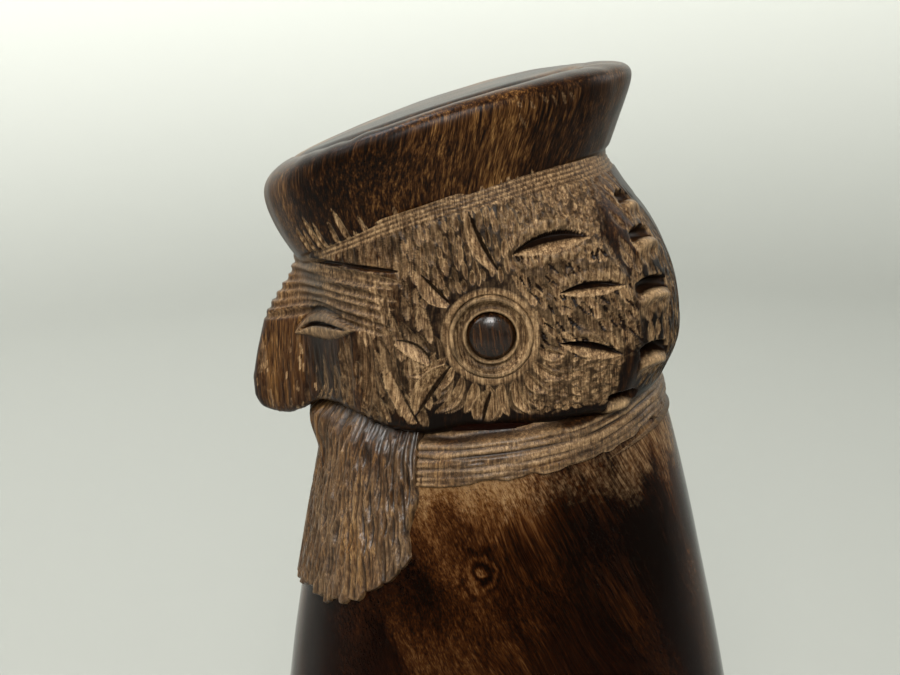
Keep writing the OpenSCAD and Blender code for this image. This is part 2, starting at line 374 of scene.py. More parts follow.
    # cut wood: paler and crumbly, with painted shade darkening its hollows
    grit = noise(inMm, 2.3, 3.0, 0.65)
    cutTone = calc("ADD", spread(fleck, 0.5), spread(grit, look["grit"]))
    cutTone = calc("ADD", spread(fibre, look["cutGrain"]), cutTone)
    cutTone = calc("ADD", calc("ADD", cutTone, spread(hair, 0.7)), 0.5, clamp=True)
    cutWood = ramp(cutTone, look["cutBands"])
    # painted shade: negative values of the attribute mark hollows, which turn to the deep colour; positive
    # ones mark crests, which take the worn colour of wear
    hollow = calc("MULTIPLY", calc("MULTIPLY", wearAndShade, -1.0), look["hollow"], clamp=True)
    bright = calc("MULTIPLY", wearAndShade, look["wear"], clamp=True)
    cutWood = blend(bright, cutWood, look["worn"])
    share = calc("ADD", spread(fleck, 0.6), look["cutStart"])
    share = calc("ADD", calc("MULTIPLY", worked, 1.15), share, clamp=True)
    share = calc("MULTIPLY", share, calc("MULTIPLY", worked, 4.0, clamp=True), clamp=True)
    colour = blend(hollow, blend(share, polished, cutWood), look["deep"])

    shine = calc("ADD", look["polishRough"], calc("MULTIPLY", calc("SUBTRACT", hair, 0.5), 0.12))
    dull = calc("ADD", look["cutRough"], calc("MULTIPLY", calc("SUBTRACT", fleck, 0.5), 0.25))
    dull = calc("SUBTRACT", dull, calc("MULTIPLY", bright, 0.18))
    rough = node("ShaderNodeMix", {"data_type": "FLOAT"})
    for socket, value in ((rough.inputs[0], share), (rough.inputs[2], shine), (rough.inputs[3], dull)):
        tree.links.new(value, socket)

    relief = calc("ADD", calc("MULTIPLY", hair, 0.35), calc("MULTIPLY", pores, -0.5))
    relief = calc("MULTIPLY", relief, calc("ADD", calc("MULTIPLY", share, 1.6), 0.25))
    relief = calc("ADD", relief, calc("MULTIPLY", calc("MULTIPLY", noise(inMm, 2.2, 3.0, 0.7), share), 0.9))
    bump = node("ShaderNodeBump", None, Strength=look["bump"], Distance=0.0002, Height=relief)
    shader = node(
        "ShaderNodeBsdfPrincipled", None, Base_Color=colour, Roughness=rough.outputs[0],
        Normal=bump.outputs[0], Specular_IOR_Level=look["gloss"],
    )
    node("ShaderNodeOutputMaterial", None, Surface=shader.outputs[0])
    return material


woodLook = {
    "fibre": 1.7,               # streaks to the millimetre
    "dust": 0.0,                # how much paler polished wood is where a tool has scraped it
    "knot": None,               # its place in mm, or none
    "cutStart": -0.1,           # lower keeps lightly worked wood polished
    "lean": 0,                  # slant of the grain in degrees
    "sway": 13.0,               # how far the grain wanders, in mm
    "rings": 34.0,              # how close the growth lines lie
    "level": 0.5,               # brightness of the polished wood, on the bands below
    "swirl": 1.5,               # strength of the broad figure
    "ringShow": 0.05,           # of the growth lines
    "streaks": 1.1,             # of the streaks
    "hairs": 0.5,               # and of the finest ones
    "bands": [
        (0.20, (0.0022, 0.0009, 0.0004)),
        (0.38, (0.0125, 0.0045, 0.0014)),
        (0.52, (0.0380, 0.0150, 0.0045)),
        (0.66, (0.0900, 0.0420, 0.0125)),
        (0.85, (0.1900, 0.1050, 0.0360)),
    ],
    "pore": (0.003, 0.0015, 0.0008),
    "cutBands": [
        (0.22, (0.026, 0.0125, 0.0054)),
        (0.42, (0.095, 0.053, 0.0245)),
        (0.56, (0.187, 0.113, 0.056)),
        (0.78, (0.370, 0.244, 0.129)),
    ],
    "cutGrain": 1.2,            # strength of the streaks in cut wood
    "grit": 0.4,                # and of its specks
    # the deep colour is painted shade for hollows
    "deep": (0.0105, 0.0055, 0.0029),
    "worn": (0.37, 0.25, 0.135),
    "hollow": 0.8,              # how far hollows turn to the deep colour, a painted shade
    "wear": 0.5,                # and crests to the worn one
    "polishRough": 0.30,
    "cutRough": 0.46,
    "gloss": 0.10,
    "bump": 0.5,
}
redBands = [
    (0.20, (0.0020, 0.0007, 0.0003)),
    (0.38, (0.0095, 0.0028, 0.0009)),
    (0.52, (0.0260, 0.0085, 0.0024)),
    (0.66, (0.0620, 0.0250, 0.0078)),
    (0.85, (0.1300, 0.0700, 0.0280)),
]
robeWood = woodMaterial("robeWood", {
    **woodLook, "lean": -28, "level": 0.36, "streaks": 0.75, "gloss": 0.035, "polishRough": 0.1,
    "bands": redBands, "dust": 0.8, "cutStart": -0.2, "deep": (0.0042, 0.0010, 0.0004), "hollow": 1.0,
    "knot": (40.1, -3.2, 166.8),
})
capWood = woodMaterial("capWood", {
    **woodLook, "lean": 8, "level": 0.46, "swirl": 0.9, "streaks": 1.2, "hairs": 0.7, "gloss": 0.07,
})
crownWood = woodMaterial("crownWood", {**woodLook, "gloss": 0.06, "level": 0.44})
headWood = woodMaterial("headWood", {
    **woodLook, "gloss": 0.08, "level": 0.33, "streaks": 0.95, "polishRough": 0.36,
})
collarWood = woodMaterial("collarWood", {**woodLook, "gloss": 0.2, "hollow": 1.3, "cutGrain": 0.5})
beardWood = woodMaterial("beardWood", {
    **woodLook, "gloss": 0.26, "hollow": 1.5, "cutGrain": 0.6, "grit": 0.25, "cutRough": 0.38,
    "level": 0.42, "worn": (0.24, 0.16, 0.088),
    "cutBands": [
        (0.22, (0.016, 0.0076, 0.0034)),
        (0.42, (0.058, 0.032, 0.0148)),
        (0.56, (0.115, 0.069, 0.035)),
        (0.78, (0.23, 0.152, 0.081)),
    ],
})
buttonWood = woodMaterial("buttonWood", {**woodLook, "polishRough": 0.22, "gloss": 0.35})


robe = {
    "widest": nodeBox("robe")[1][0],   # radius
    "hem": 10.0,                # height of the widest ring
    "neckHeight": 188.0,
    "neckRadius": 35.2,
    "around": 400,
    "rings": 212,
    "handWaver": 0.22,          # how far the scraped surface wanders
}
seatTilt = math.radians(6)      # of the joint between collar and head, up towards the back
collar = {
    "tilt": math.tan(seatTilt),
    "low": 182.6,               # lower edge, over the origin
    "high": 194.0,
    "proud": 0.85,
    "around": 900,
    "rings": 44,
    "roll": 36,                 # mm round the band to the radian
    "reach": 114,               # half its length laid flat
    # height, half width and depth of each line
    "lines": [(191.4, 0.7, 0.8), (189.6, 0.4, 0.45), (188.2, 0.5, 0.6), (186.3, 0.35, 0.4),
              (185.0, 0.3, 0.35), (183.9, 0.3, 0.3)],
}


def robeRadius(z):
    t = np.clip((z - robe["hem"]) / (robe["neckHeight"] - robe["hem"]), 0, None)
    return robe["widest"] - (robe["widest"] - robe["neckRadius"]) * t ** 2


def spinAround(bm, around, cuts=5):   # a full turn, made coarse and then divided, so it stays quick
    steps = round(around / (cuts + 1))
    bmesh.ops.spin(
        bm, geom=bm.verts[:] + bm.edges[:], cent=(0, 0, 0), axis=(0, 0, 1), angle=2 * math.pi, steps=steps,
        use_merge=True, use_duplicate=False,
    )
    bmesh.ops.remove_doubles(bm, verts=bm.verts, dist=1e-5)
    hoops = []
    for edge in bm.edges:
        a, b = (vert.co for vert in edge.verts)
        if abs(a.z - b.z) < 1e-6 and abs(a.xy.length - b.xy.length) < 1e-4 and a.xy.length > 1e-3:
            hoops.append(edge)
    bmesh.ops.subdivide_edges(bm, edges=hoops, cuts=cuts)
    part = 2 * math.pi / steps
    for vert in bm.verts:   # the new points go out from the chord to the circle
        off = (math.atan2(vert.co.y, vert.co.x) % part) - part / 2
        grow = math.cos(off) / math.cos(part / 2)
        vert.co.x *= grow
        vert.co.y *= grow


# Spins (radius, height) corners into a closed shape. The cuts say how often each run is divided.
def spinProfile(profile, cuts, around):
    bm = bmesh.new()
    corners = [bm.verts.new((r, 0, z)) for r, z in profile]
    runs = [bm.edges.new(pair) for pair in zip(corners, corners[1:])]
    for run, n in zip(runs, cuts):
        if n:
            bmesh.ops.subdivide_edges(bm, edges=[run], cuts=n)
    spinAround(bm, around)
    bmesh.ops.recalc_face_normals(bm, faces=bm.faces)
    return bm


def buildRobe():
    top, neck, hem = 197.0, 190.0, robe["hem"]
    edge = robe["widest"]
    profile = [(0, top), (29, top), (robe["neckRadius"] - 0.4, neck), (edge, hem), (edge, 5),
               (edge - 0.5, 2.8), (edge - 1.6, 1.2), (edge - 3.2, 0.3), (edge - 5, 0), (edge - 14, 0),
               (edge - 15, 1.2), (0, 1.2)]
    cuts = [3, 2, int(robe["rings"] * fine), 2, 1, 1, 1, 1, 2, 1, 6]
    bm = spinProfile(profile, cuts, int(robe["around"] * fine))
    mesh = meshFrom(bm, "robe")
    p = getPoints(mesh)
    r = np.hypot(p[:, 0], p[:, 1])
    side = (p[:, 2] > hem) & (p[:, 2] < neck + 0.01) & (r > 30)
    level = p[:, 2] - collar["tilt"] * p[:, 1]
    want = robeRadius(p[:, 2]) - 0.3 * smooth(181, 185, level) - 3.2 * smooth(185, 188, level)
    fromFront = np.degrees(np.abs(np.arctan2(p[:, 0], -p[:, 1])))
    want -= 1.3 * smooth(66, 60, fromFront) * smooth(170, 174, p[:, 2])
    waver = softNoise(p * (1, 1, 0.35), 17, 3) + 0.4 * softNoise(p * (1, 1, 0.5), 7, 4)
    waver = robe["handWaver"] * waver
    waver *= smooth(hem, hem + 12, p[:, 2])
    grow = np.where(side, (want + np.minimum(waver, 0.12) - 0.15) / np.maximum(r, 1), 1)
    p[:, 0] *= grow
    p[:, 1] *= grow
    setPoints(mesh, p)
    shadeSmooth(mesh)
    # a band of scraped, dusty wood below the collar, fading downwards
    angle = np.arctan2(p[:, 1], p[:, 0])
    low = 169 + 2.5 * np.sin(angle * 2 + 1) + 2.5 * softNoise(p, 9, 6)
    scraped = smooth(low, low + 13, p[:, 2]) * (0.33 + 0.16 * softNoise(p * (1, 1, 0.3), 2.2, 5))
    store(mesh, "worked", np.clip(scraped, 0, 1) * smooth(187, 185, level))
    # darker and redder down the robe, and painted shade where the neck hides under the collar
    store(mesh, "wearAndShade", -0.7 * smooth(168, 130, p[:, 2]) - smooth(184.5, 186, level))
    makePiece("robeBody", mesh, ["robe"], robeWood)


def buildCollar():
    low, high = collar["low"], collar["high"]
    profile = [(27, high), (33.0, high), (37.5, low), (31, low - 2.5), (27, high)]
    bm = spinProfile(profile, [2, int(collar["rings"] * fine), 3, 1], int(collar["around"] * fine))
    mesh = meshFrom(bm, "collar")
    p = getPoints(mesh)
    angle = np.arctan2(p[:, 1], p[:, 0])
    r = np.hypot(p[:, 0], p[:, 1])
    outer = (p[:, 2] <= high + 0.01) & (p[:, 2] >= low - 0.01) & (r > 32.5)
    part = (p[:, 2] - low) / (high - low)
    height = p[:, 2].copy()
    # the band rises towards the back, and a little more just behind the ears
    back = np.sin(angle)
    rise = collar["tilt"] * r * back + 2.2 * smooth(0.45, 1.0, back)
    z = height + rise
    roll = collar["proud"] * np.sin(np.clip(part, 0, 1) * math.pi * 0.9 + 0.15) ** 0.5
    spread = angle * collar["roll"]
    ragged = 0.05 * (1 + softNoise(np.column_stack([spread, angle * 0, part * 2]), 2.4, 23))
    want = robeRadius(z) + roll - 4.2 * smooth(0.62, 1.0, part) ** 1.3
    want = want - 1.3 * smooth(ragged + 0.05, ragged - 0.02, part)
    fromFront = np.degrees(np.abs(np.arctan2(p[:, 0], -p[:, 1])))
    want -= 4.5 * smooth(67, 62, fromFront)   # the beard covers the front
    band = Worked(np.column_stack([spread, height]))
    rng = np.random.default_rng(12)
    end = collar["reach"]
    for lineHeight, half, deep in collar["lines"]:
        for start in np.arange(-end, end, 13):
            a, b = start + rng.uniform(-2, 2), start + 17 + rng.uniform(-3, 3)
            drift = rng.uniform(-0.25, 0.25)
            band.gouge((a, lineHeight + drift), (b, lineHeight - drift), half, deep, late=1.0)
    # scratches along the band, then nicks across its lower edge:
    # how many, heights, run along, run up, width, depth
    for count, heights, along, up, width, depth in (
        (420, (low + 0.6, high - 1.4), (2, 6), (-0.3, 0.3), (0.2, 0.45), (0.1, 0.3)),
        (260, (low + 0.2, low + 4), (-0.4, 0.4), (-2.2, -1.2), (0.2, 0.4), (0.1, 0.25)),
    ):
        for _ in range(count):
            a = np.array([rng.uniform(-end, end - 2), rng.uniform(*heights)])
            run = (rng.uniform(*along), rng.uniform(*up))
            band.gouge(a, a + run, rng.uniform(*width), rng.uniform(*depth))
    want = want - band.cut * (part > 0.01) + 0.1 * softNoise(p, 3.0, 21)
    r = np.where(outer, want, r)
    p = np.column_stack([r * np.cos(angle), r * np.sin(angle), z])
    setPoints(mesh, p)
    shadeSmooth(mesh)
    streak = softNoise(np.column_stack([spread * 0.12, height * 1.6, height * 0]), 1.0, 22)
    store(mesh, "worked", np.clip(0.62 + 0.45 * streak - 0.25 * smooth(0.6, 0.8, part), 0, 1))
    # worn colour on crests, and painted shade darkening the cut lines and hollows
    store(mesh, "wearAndShade", np.clip(0.5 * crestsAndHollows(mesh) - hollows(mesh, band.cut), -1, 1))
    makePiece("collarBand", mesh, ["collar"], collarWood)


beard = {
    "half": math.radians(68.5),
    "top": 194.5,
    "proud": 1.45,
    "across": 520,
    "down": 150,
    "roll": 39.0,               # mm round the beard to the radian
    # lower edge: degrees from the front, height
    "foot": [(0, 148.5), (12, 150.5), (24, 153.0), (36, 153.6), (48, 156.5), (58, 160.5), (64, 164.5),
             (69, 170.0)],
    "fineStrands": 900,
}


def beardFoot(theta, rng):   # ragged lower edge, one rounded end for each lock
    deg = np.degrees(theta)
    base = np.interp(np.abs(deg), *zip(*beard["foot"]))
    ends = np.cumsum(rng.uniform(2.6, 6.2, 60)) - 80
    drop = rng.uniform(0.4, 2.2, 61)
    k = np.clip(np.searchsorted(ends, deg), 1, len(ends) - 1)
    across = (deg - ends[k - 1]) / (ends[k] - ends[k - 1])
    return base - drop[k] * np.sqrt(np.clip(4 * across * (1 - across), 0, 1)) + 1.2


def buildBeard():
    rng = np.random.default_rng(31)
    nx, ny = int(beard["across"] * fine), int(beard["down"] * fine)
    bm = bmesh.new()
    bmesh.ops.create_grid(bm, x_segments=nx, y_segments=ny, size=0.5)
    mesh = meshFrom(bm, "beard")
    grid = getPoints(mesh)
    u, v = grid[:, 0] * 2, grid[:, 1] + 0.5
    theta = u * beard["half"]
    foot = beardFoot(theta, rng)
    z = foot + (beard["top"] - foot) * v
    arc = theta * beard["roll"]
    hair = Worked(np.column_stack([arc, z]))
    limit = beard["half"] * beard["roll"]
    # long strands first, then finer ones between and over them
    for x in np.arange(-limit, limit, 1.5):
        z0 = beard["top"] + rng.uniform(-2, 3)
        while z0 > 146:
            length = rng.uniform(6, 14)
            lean = 0.035 * x + rng.normal(0, 0.5)
            start = np.array([x + rng.normal(0, 0.25), z0])
            end = start + (lean * length / 12, -length)
            hair.gouge(start, end, rng.uniform(0.62, 0.98), rng.uniform(0.65, 1.25),
                       bend=rng.normal(0, 0.45), late=1.1)
            z0 -= length * rng.uniform(0.55, 0.85)
    for _ in range(beard["fineStrands"]):
        start = np.array([rng.uniform(-limit, limit), rng.uniform(148, 191)])
        length = rng.uniform(2.5, 8)
        end = start + (rng.normal(0, 0.3), -length)
        hair.gouge(start, end, rng.uniform(0.28, 0.5), rng.uniform(0.15, 0.45), bend=rng.normal(0, 0.15))
    locks = softNoise(np.column_stack([z * 0, z, u * 3]), 3.2, 35)
    side = 1 - np.abs(u) - 0.022 * (1 + locks)
    rim = smooth(0.0, 0.022, side) * smooth(0.0, 0.035, v)
    waves = 0.28 * softNoise(np.column_stack([arc, z * 0.35, z * 0]), 5.5, 33)
    r = robeRadius(z) - 0.9 + (beard["proud"] + 0.9 + waves) * rim
    # the top flares forward to meet the nose, and at the sides draws in under the jaw
    front = smooth(34, 12, np.abs(np.degrees(theta)))
    r = r + 3.6 * front * smooth(179, 189, z) - (1 - front) * 2.6 * smooth(186, 194, z)
    r = r - 3.5 * front * smooth(188.5, 193, z) - hair.cut * (0.25 + 0.75 * rim)
    p = np.column_stack([r * np.sin(theta), -r * np.cos(theta), z])
    setPoints(mesh, p)
    pale = (0.43 + 0.3 * softNoise(p, 6, 34)) * (1 - 0.5 * smooth(180, 190, z))   # less pale under the jaw, a painted shade
    store(mesh, "worked", np.clip(pale, 0, 1))
    shadeSmooth(mesh)
    # worn colour on crests, and painted shade darkening the grooves between strands
    store(mesh, "wearAndShade", np.clip(0.5 * crestsAndHollows(mesh, 1) - hollows(mesh, hair.cut, 14, 1.5), -1, 1))
    bm = bmesh.new()
    bm.from_mesh(mesh)
    border = [e for e in bm.edges if e.is_boundary]
    walls = bmesh.ops.extrude_edge_only(bm, edges=border)["geom"]
    inner = [g for g in walls if isinstance(g, bmesh.types.BMVert)]
    for vert in inner:   # the walls go in towards the middle of the robe
        reach = math.hypot(vert.co.x, vert.co.y)
        vert.co.x *= (reach - 3) / reach
        vert.co.y *= (reach - 3) / reach
    bmesh.ops.holes_fill(bm, edges=[e for e in bm.edges if e.is_boundary], sides=0)
    bmesh.ops.recalc_face_normals(bm, faces=bm.faces)
    bm.to_mesh(mesh)
    bm.free()
    makePiece("beardLocks", mesh, ["beard"], beardWood)


earLow, earHigh = nodeBox("left_ear_cup")
head = {
    # on the line through the ears
    "middle": np.array([0.0, (earLow[1] + earHigh[1]) / 2, (earLow[2] + earHigh[2]) / 2]),
    "radius": 35.7,
    "halfWidth": nodeBox("left_side")[1][0],
    "centreY": 1.5,
    "centreZ": 208.0,
    "square": 3.3,              # how square the corner between side face and back is
    "cupRadius": (earHigh[1] - earLow[1]) / 2,
    "around": 134,              # divided six times over later
    "rings": 70,
    "faceCut": nodeBox("face")[1][1],   # where the face ends, on y
    "napeCut": nodeBox("nape")[1][0],   # and the nape, on x
    # silhouette down the middle of the face: height, y
    "front": [(184, -47), (186.4, -49.2), (188, -51.2), (190.5, -52.1), (194.3, -52.2), (200.9, -50.7),
              (207.5, -48.9), (210, -47.6), (213.9, -45.0), (219.9, -40.8), (226, -37), (236, -32)],
    # underside: y, height
    "under": [(-60, 187.2), (-50, 186.2), (-46.5, 186.0), (-43, 186.9), (-40, 188.6), (-36, 191.4),
              (-31, 192.8), (-26, 192.4), (-20, 191.0), (-12, 190.2), (0, 191.2), (20, 193.3), (40, 195.4)],
    "noseRound": 4.6,           # radius of the wedge's edges
    "cheek": (25.5, -13.5),     # x and y of the wedge's back corners
    "seat": 191.6,              # height of the joint with the collar, over the origin
}
capTilt = math.radians(17.3)
# middle of the cap's lower edge, and half its length and width
capFoot = {"y": -8.9, "z": 229.8, "length": 33.4, "width": 30.5}


def toCap(p):   # across, along and up, measured from the middle of the cap's lower edge
    lean, rise = math.cos(capTilt), math.sin(capTilt)
    dy, dz = p[:, 1] - capFoot["y"], p[:, 2] - capFoot["z"]
    return p[:, 0], dy * lean + dz * rise, dz * lean - dy * rise


def fromCap(x, along, up):
    lean, rise = math.cos(capTilt), math.sin(capTilt)
    y = along * lean - up * rise + capFoot["y"]
    return np.column_stack([x, y, along * rise + up * lean + capFoot["z"]])


def join(a, b, k):   # union of two distances with a fillet of about k
    h = np.clip(0.5 + 0.5 * (b - a) / k, 0, 1)
    return b + (a - b) * h - k * h * (1 - h)


def meet(a, b, k):   # intersection with a rounded edge
    return -join(-a, -b, k)


def headGap(p):   # distance outside the blank of the head, negative inside
    x, y, z = np.abs(p[:, 0]), p[:, 1], p[:, 2]
    r = np.hypot(y - head["centreY"], z - head["centreZ"]) / head["radius"]
    r = r * (1 + 0.05 * smooth(206, 196, z) * smooth(12, 28, y))
    n = head["square"]
    drum = ((r ** n + (x / head["halfWidth"]) ** n) ** (1 / n) - 1) * 34
    # wedge of the face, in level slices
    tip = np.interp(z, *zip(*head["front"])) + head["noseRound"]
    cx, cy = head["cheek"]
    runX, runY = cx, cy - tip
    span = runX ** 2 + runY ** 2
    t = np.clip((x * runX + (y - tip) * runY) / span, 0, 1)
    away = np.hypot(x - t * runX, y - tip - t * runY)
    within = ((y - tip) * runX > x * runY) & (y < cy)
    behind = np.where(x < cx, np.abs(y - cy), away)
    wedge = np.where(within, -np.minimum(away, cy - y), np.where(y >= cy, behind, away)) - head["noseRound"]
    under = np.interp(y, *zip(*head["under"]))
    top = z - 236
    wedge = meet(meet(wedge, under - z, 4.0), top, 3)
    # flare that carries the head up to the lower edge of the cap
    u, along, up = toCap(p)
    oval = (u / (capFoot["width"] - 0.6)) ** 2 + (along / (capFoot["length"] - 0.4)) ** 2
    oval = (np.sqrt(oval) - 1) * 32
    flare = np.maximum(oval, np.abs(up - 1) - 7)
    solid = join(join(drum, wedge, 7.0), flare, 5.0)
    return meet(solid, under - z, 2.5 + 1.2 * smooth(-26, -12, y))


def headBlank():
    bm = bmesh.new()
    poles = Matrix.Rotation(math.pi / 2, 4, "Y")   # at the ears
    bmesh.ops.create_uvsphere(bm, u_segments=head["around"], v_segments=head["rings"], radius=1, matrix=poles)
    bmesh.ops.subdivide_edges(bm, edges=bm.edges[:], cuts=5 if fine == 1 else 2, use_grid_fill=True)
    mesh = meshFrom(bm, "headBlank")
    way = getPoints(mesh)
    way = way / np.linalg.norm(way, axis=1)[:, None]
    near, far = np.full(len(way), 8.0), np.full(len(way), 80.0)
    for _ in range(15):   # feel along each direction for the skin of the blank
        half = (near + far) / 2
        solid = headGap(head["middle"] + way * half[:, None]) < 0
        near, far = np.where(solid, half, near), np.where(solid, far, half)
    p = head["middle"] + way * ((near + far) / 2)[:, None]
    setPoints(mesh, p)
    return mesh


def frontAt(z):
    return float(np.interp(z, *zip(*head["front"])))


sideCuts = {
    # fields of short cuts: outline (y, z), slant, length, width, depth, spacing, then how uneven, how bent,
    # how late they are deepest and how pale
    "fields": [
        # between the cap and the brow
        ([(-40, 221), (-37, 226), (-20, 233), (-8, 237), (-9, 230), (-12, 222.5), (-27, 221.5)],
         -88, 5.5, 0.62, 0.35, (1.45, 4.2), 4, 0.0, 1.4, 0.55),
        # tiled ticks above the ear
        ([(-15, 235), (3, 240), (6, 229), (2, 220.5), (-7, 219), (-13, 215), (-18, 222)],
         -84, 3.1, 0.55, 0.55, (1.3, 2.5), 5, 0.0, 1.1, 1.0),
        # stipple behind them and down the back edge
        ([(1, 240), (26, 246), (34, 232), (30, 221.5), (13, 224), (3, 227)],
         -80, 1.9, 0.6, 0.4, (1.25, 1.75), 18, 0.0, 1.0, 1.0),
        ([(26, 232), (31, 230), (30, 205), (24, 207), (26, 221)],
         -78, 1.7, 0.55, 0.35, (1.2, 1.7), 20, 0.0, 1.0, 0.8),
        # slanting cuts between the slits, and finer ones under them
        ([(3, 227), (14, 224), (27, 222), (27, 208), (13, 206), (9, 212), (5, 219.5)],
         -56, 4.0, 0.78, 0.5, (1.75, 3.3), 10, 0.4, 1.1, 1.0),
        ([(9, 205), (27, 206), (25, 197), (14, 193), (5, 195)],
         28, 1.6, 0.5, 0.3, (1.15, 1.6), 16, 0.0, 1.0, 1.0),
    ],
    "nicks": 90,                # thin dark cuts between the paler ones
    "beforeEar": ([(-25, 217), (-16, 219), (-9, 213.5), (-9.5, 206), (-13, 196), (-25, 192)],
                  -76, 6.5, 0.95, 0.6, (2.15, 4.4), 9, 0.6, 1.4, 0.8),
    # on the back of the head, with x in place of y
    "behind": ([(12, 194), (29, 194), (28, 226), (15, 240), (8, 240)],
               -86, 4.5, 0.7, 0.4, (1.5, 3.4), 6, 0.0, 1.4, 0.75),
    # petals under the ear: direction, length, bend
    "petals": [(203, 8.5, 1.2), (219, 7.0, 0.8), (233, 9.0, 1.5), (250, 6.5, 0.5), (264, 8.5, 1.4),
               (281, 6.5, -0.7), (297, 8.0, -1.2), (313, 6.0, -0.8), (328, 6.5, -1.0), (345, 5.0, -0.8)],
    # long leaf cuts with one wall darkened as painted shade and one pale one: start, end, width, depth, bend,
    # lean
    "leaves": [
        ((-7.6, 205.1), (-15.1, 194.6), 1.9, 1.5, -1.3, 0.7),
        ((-0.4, 200.0), (-2.6, 192.6), 1.5, 1.2, -1.0, 0.6),
        ((-18.2, 209.2), (-11.2, 204.8), 1.5, 1.4, 0.7, 0.7),
        ((-13.0, 222.0), (-7.2, 215.8), 1.6, 1.2, -0.9, 0.6),
        ((-4.0, 233.5), (1.8, 221.5), 1.4, 1.3, -1.2, 0.5),
        ((-20.0, 205.0), (-14.2, 192.8), 1.6, 1.1, -1.0, 0.5),
    ],
    # lidded slits: first their ridges (start, end, width, height, bend), then the slit
    # (start, end, arch, sag, depth)
    "slits": [
        ([((3.4, 226.5), (19.6, 229.4), 1.5, 0.45, 2.4), ((4.0, 223.0), (20.0, 226.0), 1.3, 0.4, -0.3)],
         ((4.0, 224.9), (18.6, 227.6), 2.6, 1.3, 2.6)),
        ([((12.0, 219.2), (25.2, 219.9), 1.2, 0.35, 1.3)], ((12.6, 217.7), (24.6, 218.4), 1.6, 1.2, 2.1)),
        ([((11.8, 209.9), (24.8, 207.1), 1.2, 0.35, 1.2)], ((12.4, 208.4), (24.2, 205.6), 1.5, 1.6, 2.1)),
    ],
}
faceCuts = {
    # faint upright scraping on the nose and cheek, and hatching over the brow, as in the fields above
    "nose": ([(-52, 206), (-30, 205), (-29, 189), (-44, 186), (-52, 190)],
             -89, 6.0, 0.5, 0.16, (1.3, 3.8), 3, 0.0, 1.4, 0.2),
    "brow": ([(-45, 219), (-20, 223), (-17, 217), (-24, 212.5), (-47, 208)],
             -88, 1.6, 0.3, 0.12, (0.9, 1.6), 6, 0.0, 1.4, 0.5),
    "scratches": 26,            # pale ones near the ridge of the nose and under the cheek
    "waves": 46,                # along the ridges behind the eye
    "wrinkles": 7,
    # wavy upright ridges behind the eye: start, end, width, depth, bend
    "ridges": [
        ((-31.0, 203.0), (-31.4, 194.5), 0.9, 0.45, 0.5),
        ((-28.9, 209.0), (-29.8, 194.0), 1.1, 0.75, 0.9),
        ((-26.9, 209.5), (-27.4, 192.5), 1.15, 0.95, -0.8),
        ((-24.9, 210.0), (-24.4, 192.5), 1.15, 0.95, 0.9),
        ((-22.9, 210.5), (-21.0, 193.0), 1.2, 0.9, -0.9),
        ((-20.9, 210.0), (-17.6, 194.5), 1.2, 0.85, 0.8),
        ((-33.8, 203.5), (-34.2, 193.0), 0.7, 0.25, 0.4),
    ],
}


def carveSide(s, rng):   # s is one side of the head laid flat, with y across and z up
    for field in sideCuts["fields"]:
        s.fill(rng, *field)
    for _ in range(sideCuts["nicks"]):
        spot = np.array([rng.uniform(4, 27), rng.uniform(206, 227)])
        a = math.radians(rng.normal(-56, 12))
        run = np.array([math.cos(a), math.sin(a)]) * rng.uniform(1.5, 3.5)
        s.gouge(spot, spot + run, 0.26, 0.75, late=1.0, mark=0.05)
    s.fill(rng, *sideCuts["beforeEar"])
    for a, long, bend in sideCuts["petals"]:
        way = np.array([math.cos(math.radians(a)), math.sin(math.radians(a))])
        start = np.array([0.0, 210.0]) + way * 9.0
        s.gouge(start, start + way * long, 1.25, 0.8, bend=bend, late=0.9, lean=0.35,
                mark=rng.uniform(0.7, 1))
        for sideways in (-1.6, 1.6):   # a thin cut along each flank
            side = np.array([-way[1], way[0]]) * sideways
            s.gouge(start + side + way * 1.5, start + side + way * (long - 1), 0.5, 0.4, bend=bend,
                    late=0.9, mark=rng.uniform(0.3, 1))
    for a, b, width, deep, bend, lean in sideCuts["leaves"]:
        s.gouge(a, b, width, deep, bend=bend, late=1.0, lean=lean, clean=True)
    for ridges, slit in sideCuts["slits"]:
        for ridge in ridges:
            s.ridge(*ridge)
        s.lidded(*slit)


